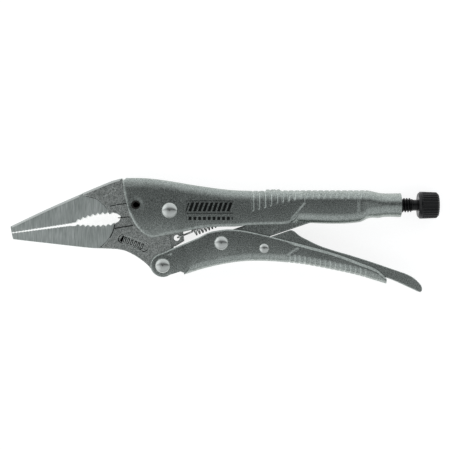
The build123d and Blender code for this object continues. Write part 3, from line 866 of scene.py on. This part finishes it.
rows_x = np.concatenate(
    [
        ear_rows, np.arange(-6.0, 7.8, 0.7), [7.9], np.arange(8.4, 64.0, 0.8), np.arange(64.2, 108.6, 0.3),
        np.arange(108.8, 118.0, 0.7), [118.2],
    ]
)[:, None]
circle = np.sqrt(np.clip(EAR_R**2 - (rows_x - PIVOT_X) ** 2, 0, None))
rise = np.where(rows_x < ear_top_x, PIVOT_Y + circle, lever_rise(rows_x))
low_line = np.interp(rows_x, [ear_low_x, 1.3, 6.2, 7.9], [ear_low_y, -35.4, -33.9, -35.0])
bottom = np.where(rows_x < WEB_X, low_line, lever_under(rows_x))
bottom = np.where(rows_x < ear_low_x, PIVOT_Y - circle, bottom)
has_web = rows_x >= WEB_X - 0.01
bend_y = np.where(has_web, 0.4 + 4.2 * ease((rows_x - WEB_X) / 5), 0.02)
bend_y = np.minimum(bend_y, np.maximum(0.02, 0.8 * (rise - bottom)))
bend_z = np.full_like(rows_x, 3.7)
zero = np.zeros_like(rows_x)
y, z, ny, nz, kind = fold(-bottom, zero + HALF, bend_y, bend_z, -rise, zero + 0.3, zero, zero + 4.0)
y, ny = -y, -ny
x = rows_x * np.ones_like(y)
side = (kind == 2) | (kind == 1)
below_edge = rise - y
lip = ease((x - 62) / 8) * ease((119 - x) / 1.5)
rolled = 0.9 * np.clip(1 - below_edge / 1.6, 0, 1)
plain_edge = 0.4 * np.clip(1 - below_edge / 1.1, 0, 1) ** 2
shave = (rolled * lip + plain_edge * (1 - lip)) * side
from_ear_rim = (EAR_R - np.hypot(x - PIVOT_X, y - PIVOT_Y)) / 1.0
shave += 0.4 * np.clip(1 - from_ear_rim, 0, 1) ** 2 * (x < 1.0) * side * (y < PIVOT_Y + 6)
along = ((x - CREASE_X) * CREASE_DX + (y - CREASE_Y) * CREASE_DY) / (CREASE_DX**2 + CREASE_DY**2)
along = np.clip(along, 0, 1)
off_crease = (x - CREASE_X - CREASE_DX * along) ** 2 + (y - CREASE_Y - CREASE_DY * along) ** 2
shave += 0.3 * np.exp(-(off_crease / 0.35)) * side
side_middle = (rise + bottom + bend_y) / 2
crown = 0.005 * np.where(kind == 2, (y - side_middle) ** 2, (bottom + bend_y - side_middle) ** 2 * nz**4) * side
outer, inner = both_sides(x, y, z, ny, nz, SHEET, np.minimum(shave + crown, 1.2))
whole_kind = np.concatenate([kind[:0:-1], kind])
keep = np.ones((len(rows_x) - 1, len(whole_kind) - 1), bool)
keep[:, (whole_kind[:-1] > 2) | (whole_kind[1:] > 2)] = False
ears_only = ~has_web[:-1, 0]
keep[np.ix_(ears_only, (whole_kind[:-1] < 2) | (whole_kind[1:] < 2))] = False
lever = to_piece("lever_sheet", sheet_mesh("lever sheet", outer, inner, keep), [plated])
paint_ribs(lever, lambda x, y, z: ease((lever_under(x) + 4.6 - y) / 1.0))
lever_ribs = {"First": 65.3 * MM, "Pitch": 2.75 * MM, "Count": 16, "Width": 1.3 * MM, "Depth": 0.35 * MM}
grow(lever, ribs_tree(lever_ribs, plated), lever_ribs)
keep_corners(lever)
stand_for(lever, "lever_handle")

# %% [markdown]
# ## Return spring
# A close coil of drawn wire with a ring at each end. Curves draw it: a spiral for the coil, a circle for
# each ring, and a short bent leg between them. A small round profile swept along all of them gives the wire.
# One end hooks on the jaw's tab and the other on the handle's tongue, so the spring stretches between the two.

# %% Spring from curves
COIL_R, WIRE_R, RING_R, COIL_START = 2.35, 0.5, 2.4, 6.5
hook_a = Vector((6.4 * MM, -13.9 * MM, MIDDLE_Z))
hook_b = Vector((54.0 * MM, 4.9 * MM, MIDDLE_Z))
axis = (hook_b - hook_a).normalized()
coil_length = (hook_b - hook_a).length - 2 * COIL_START * MM
spring_sizes = {
    "Coil Radius": COIL_R * MM, "Coil Length": coil_length, "Turns": 20.5, "Wire Radius": WIRE_R * MM,
    "Ring Radius": RING_R * MM, "Ring Distance": COIL_START * MM,
}
tree, start, end = node_group("hooked coil spring", spring_sizes)
coil = add_node(
    tree,
    "GeometryNodeCurveSpiral",
    {
        "Resolution": 28,
        "Rotations": start["Turns"],
        "Start Radius": start["Coil Radius"],
        "End Radius": start["Coil Radius"],
        "Height": start["Coil Length"],
    },
).outputs[0]


def point(tree, x=0.0, y=0.0, z=0.0):
    return add_node(tree, "ShaderNodeCombineXYZ", {"X": x, "Y": y, "Z": z}).outputs[0]


wires = add_node(tree, "GeometryNodeJoinGeometry", {0: coil})
for sign, base in ((-1.0, 0.0), (1.0, start["Coil Length"])):
    turned = math.pi if sign > 0 else 0.0
    ring = add_node(
        tree, "GeometryNodeCurvePrimitiveCircle", {"Resolution": 40, "Radius": start["Ring Radius"]}
    ).outputs[0]
    middle = maths(tree, "ADD", base, times(tree, start["Ring Distance"], sign))
    placed = add_node(
        tree,
        "GeometryNodeTransform",
        {"Geometry": ring, "Translation": point(tree, 0.0, 0.0, middle), "Rotation": (math.pi / 2, 0, 0)},
    ).outputs[0]
    tree.links.new(placed, wires.inputs[0])
    near = maths(tree, "SUBTRACT", middle, times(tree, start["Ring Radius"], sign))
    side_x = times(tree, start["Coil Radius"], -1.0 if sign > 0 else 1.0)
    leg = add_node(
        tree,
        "GeometryNodeCurveQuadraticBezier",
        {
            "Resolution": 12,
            "Start": point(tree, 0.0, 0.0, near),
            "Middle": point(tree, 0.0, 0.0, base),
            "End": point(tree, side_x, 0.0, base),
        },
    ).outputs[0]
    tree.links.new(leg, wires.inputs[0])
profile = add_node(
    tree, "GeometryNodeCurvePrimitiveCircle", {"Resolution": 12, "Radius": start["Wire Radius"]}
).outputs[0]
swept = add_node(
    tree, "GeometryNodeCurveToMesh", {"Curve": wires.outputs[0], "Profile Curve": profile, "Fill Caps": True}
).outputs[0]
finish_tree(tree, swept, end, wire)


def from_nothing(name, tree, sizes, place):
    """A piece that a tree makes from its sizes alone, moved to its place."""
    piece = to_piece(name, bmesh.new(), [])
    grow(piece, tree, sizes)
    piece.data.transform(place)
    mesh = bmesh.new()
    mesh.from_mesh(piece.data)
    bmesh.ops.remove_doubles(mesh, verts=mesh.verts, dist=0.002 * MM)
    bmesh.ops.recalc_face_normals(mesh, faces=mesh.faces)
    mesh.to_mesh(piece.data)
    mesh.free()
    return piece


def frame_at(origin, out, up):
    """A matrix that puts local Z along out and local X along up."""
    matrix = Matrix((up, out.cross(up), out)).transposed().to_4x4()
    matrix.translation = origin
    return matrix


spring = from_nothing(
    "return_spring_wire", tree, spring_sizes, frame_at(hook_a + axis * COIL_START * MM, axis, Vector((0, 0, 1)))
)
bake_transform(spring)
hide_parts("return_spring")
print(spring.name, "has", len(spring.data.polygons), "faces")

# %% [markdown]
# ## Adjusting screw
# A rolled thread is one groove that winds along the rod. The tree starts from a plain cylinder with many
# rings and moves every point in or out by its phase: its height along the rod less its share of a turn.

# %% Threaded rod
SCREW_Y = 3.0
TIP_X, THREAD_END_X, NECK_END_X = 93.0, 133.4, 145.0
THREAD_FLANK = (0.22, 0.88)  # where a thread's side starts and ends, as a share of half the pitch
RUN_OUT_MM = 1.4
screw_sizes = {
    "Radius": 4.0 * MM,
    "Depth": 0.85 * MM,
    "Pitch": 1.5 * MM,
    "Length": (THREAD_END_X - TIP_X) * MM,
    "Rings": 300,
    "Neck Radius": 3.0 * MM,
    "Neck Length": (NECK_END_X - THREAD_END_X + 1) * MM,
}


def place_parts(tree):
    position = add_node(tree, "GeometryNodeInputPosition").outputs[0]
    return add_node(tree, "ShaderNodeSeparateXYZ", {0: position}).outputs


tree, start, end = node_group("threaded rod", screw_sizes)
rod = add_node(
    tree,
    "GeometryNodeMeshCylinder",
    {"Vertices": 64, "Side Segments": start["Rings"], "Radius": start["Radius"], "Depth": start["Length"]},
    fill_type="TRIANGLE_FAN",
).outputs["Mesh"]
at = place_parts(tree)
share = maths(tree, "DIVIDE", maths(tree, "ARCTAN2", at["Y"], at["X"]), 2 * math.pi)
phase = maths(tree, "FRACT", maths(tree, "SUBTRACT", maths(tree, "DIVIDE", at["Z"], start["Pitch"]), share))
from_crest = maths(tree, "ABSOLUTE", maths(tree, "SUBTRACT", times(tree, phase, 2), 1))
crest = span(tree, from_crest, *THREAD_FLANK, 1.0, 0.0)
to_end = maths(tree, "SUBTRACT", maths(tree, "DIVIDE", start["Length"], 2), maths(tree, "ABSOLUTE", at["Z"]))
run_out = span(tree, to_end, 0.0, RUN_OUT_MM * MM)
sunk = maths(tree, "SUBTRACT", 1, times(tree, crest, run_out))
scale = maths(tree, "SUBTRACT", 1, times(tree, sunk, maths(tree, "DIVIDE", start["Depth"], start["Radius"])))
moved = point(tree, times(tree, at["X"], scale), times(tree, at["Y"], scale), at["Z"])
threaded = add_node(tree, "GeometryNodeSetPosition", {"Geometry": rod, "Position": moved}).outputs[0]
neck = add_node(
    tree,
    "GeometryNodeMeshCylinder",
    {"Vertices": 48, "Radius": start["Neck Radius"], "Depth": start["Neck Length"]},
).outputs["Mesh"]
neck_middle = maths(
    tree,
    "ADD",
    maths(tree, "DIVIDE", start["Length"], 2),
    maths(tree, "SUBTRACT", maths(tree, "DIVIDE", start["Neck Length"], 2), 1 * MM),
)
neck_placed = add_node(
    tree, "GeometryNodeTransform", {"Geometry": neck, "Translation": point(tree, 0.0, 0.0, neck_middle)}
).outputs[0]
both = add_node(tree, "GeometryNodeJoinGeometry", {0: threaded})
tree.links.new(neck_placed, both.inputs[0])
finish_tree(tree, both.outputs[0], end, blackened)
rod_middle = Vector(((TIP_X + THREAD_END_X) / 2 * MM, SCREW_Y * MM, MIDDLE_Z))
screw = from_nothing(
    "threaded_rod", tree, screw_sizes, frame_at(rod_middle, Vector((1, 0, 0)), Vector((0, 0, 1)))
)
keep_corners(screw, 50)
stand_for(screw, "adjusting_screw")

# %% [markdown]
# ## Knob
# The knob is turned slightly thinner towards its end, chamfered at both rims, then fluted so that fingers
# can turn it. The tree cuts the flutes by angle, as the cutter does: the same groove over and over.

# %% Fluted knob
KNOB_X0, KNOB_X1 = 136.2, 147.4
FLUTE_FLANK = (0.15, 0.8)  # where a flute's side starts and ends, as a share of half the pitch
PLAIN_BAND_MM = (1.6, 2.4)  # the end by the screw has no flutes: they begin and are full here
knob_sizes = {
    "Radius": 7.5 * MM, "End Radius": 7.1 * MM, "Length": (KNOB_X1 - KNOB_X0) * MM, "Chamfer": 1.1 * MM,
    "Flutes": 28, "Flute Depth": 0.34 * MM,
}
tree, start, end = node_group("fluted knob", knob_sizes)
blank = add_node(
    tree,
    "GeometryNodeMeshCylinder",
    {"Vertices": 224, "Side Segments": 40, "Radius": start["Radius"], "Depth": start["Length"]},
    fill_type="TRIANGLE_FAN",
).outputs["Mesh"]
at = place_parts(tree)
share = maths(tree, "DIVIDE", maths(tree, "ARCTAN2", at["Y"], at["X"]), 2 * math.pi)
phase = maths(tree, "FRACT", times(tree, share, start["Flutes"]))
from_flute = maths(tree, "ABSOLUTE", maths(tree, "SUBTRACT", times(tree, phase, 2), 1))
flute = span(tree, from_flute, *FLUTE_FLANK, 1.0, 0.0, "SMOOTHSTEP")
half_length = maths(tree, "DIVIDE", start["Length"], 2)
to_end = maths(tree, "SUBTRACT", half_length, maths(tree, "ABSOLUTE", at["Z"]))
rim = span(tree, to_end, 0.0, start["Chamfer"], start["Chamfer"], 0.0)
flutes_start = maths(tree, "ADD", times(tree, half_length, -1), PLAIN_BAND_MM[0] * MM)
flutes_full = maths(tree, "ADD", times(tree, half_length, -1), PLAIN_BAND_MM[1] * MM)
fluted = span(tree, at["Z"], flutes_start, flutes_full)
lost = maths(tree, "ADD", rim, times(tree, times(tree, flute, fluted), start["Flute Depth"]))
along = maths(tree, "DIVIDE", maths(tree, "ADD", at["Z"], half_length), start["Length"])
taper = times(tree, along, maths(tree, "SUBTRACT", start["Radius"], start["End Radius"]))
wanted = maths(tree, "SUBTRACT", maths(tree, "SUBTRACT", start["Radius"], taper), lost)
scale = maths(tree, "DIVIDE", wanted, start["Radius"])
moved = point(tree, times(tree, at["X"], scale), times(tree, at["Y"], scale), at["Z"])
shaped = add_node(tree, "GeometryNodeSetPosition", {"Geometry": blank, "Position": moved}).outputs[0]
finish_tree(tree, shaped, end, blackened)
knob_middle = Vector(((KNOB_X0 + KNOB_X1) / 2 * MM, SCREW_Y * MM, MIDDLE_Z))
knob = from_nothing(
    "fluted_knob", tree, knob_sizes, frame_at(knob_middle, Vector((1, 0, 0)), Vector((0, 0, 1)))
)
keep_corners(knob, 40)
stand_for(knob, "adjusting_knob")

# %% [markdown]
# ## Table and light
# A white light table carries the tool, so it glows a little itself and the gaps through the tool stay white.
# Bright steel shows its surroundings rather than its own colour. So the room is described by direction:
# a bright wall on the lever's side, a dim patch overhead, a dark band beyond the handle, and a bright strip
# low behind it. The bends then run from grey through dark to bright, as folded steel does in a studio.

# %% Table
bpy.ops.mesh.primitive_plane_add(size=6)
table = bpy.context.object
table.name = "table"
paper, paper_tree, paper_shader, _ = new_finish("white light table")
paper_shader.inputs["Base Color"].default_value = linear("#b4b4b4")
paper_shader.inputs["Roughness"].default_value = 0.9
paper_shader.inputs["Specular IOR Level"].default_value = 0.1
paper_shader.inputs["Emission Color"].default_value = linear("#ffffff")
paper_shader.inputs["Emission Strength"].default_value = 0.8
table.data.materials.append(paper)

# %% Room by direction
ROOM_BRIGHTNESS = 1.25
LEANS = [
    (-180, "#a0a0a0"), (-85, "#a8a8a8"), (-60, "#c8c8c8"), (-28, "#bcbcbc"), (-14, "#b0b0b0"), (-4, "#a0a0a0"),
    (5, "#848484"), (14, "#585858"), (22, "#646464"), (34, "#a4a4a4"), (50, "#d4d4d4"), (100, "#e4e4e4"),
    (180, "#a0a0a0"),
]
world = bpy.data.worlds.new("studio room")
bpy.context.scene.world = world
world.use_nodes = True
room = world.node_tree
direction = add_node(room, "ShaderNodeTexCoord").outputs["Generated"]
part = add_node(room, "ShaderNodeSeparateXYZ", {0: direction}).outputs
lean = span(room, maths(room, "ARCTAN2", part["Y"], part["Z"]), -math.pi, math.pi)
walls = ramp(room, lean, [((degrees + 180) / 360, grey) for degrees, grey in LEANS])
jaw_side = span(room, part["X"], -0.35, -0.85, 0.0, 0.45)
overhead = span(room, part["Z"], math.cos(math.radians(11)), math.cos(math.radians(7)), 1.0, 0.3)
strength = times(room, maths(room, "ADD", times(room, walls, ROOM_BRIGHTNESS), jaw_side), overhead)
room.nodes["Background"].inputs["Color"].default_value = linear("#fbfdff")
room.links.new(strength, room.nodes["Background"].inputs["Strength"])
bpy.context.scene.view_settings.view_transform = "Standard"
print("room has", len(LEANS), "stops of brightness")

# %% [markdown]
# ## Camera
# It looks straight down from 0.69 metres with a long lens, so the side of the tool shows almost without
# perspective. The point under it is a little right of and below the jaw pivot, near the middle of the tool.

# %% Camera
CAMERA_OVER_MM = (30.2, -7.9)
FRAME_WIDTH_MM = 247.5
camera_data = bpy.data.cameras.new("camera")
camera_data.lens = 100
camera_data.sensor_width = 36
camera = bpy.data.objects.new("camera", camera_data)
bpy.context.scene.collection.objects.link(camera)
camera.location = (CAMERA_OVER_MM[0] * MM, CAMERA_OVER_MM[1] * MM, MIDDLE_Z + FRAME_WIDTH_MM * MM * 100 / 36)
bpy.context.scene.camera = camera
print("camera at", [round(c, 3) for c in camera.location])
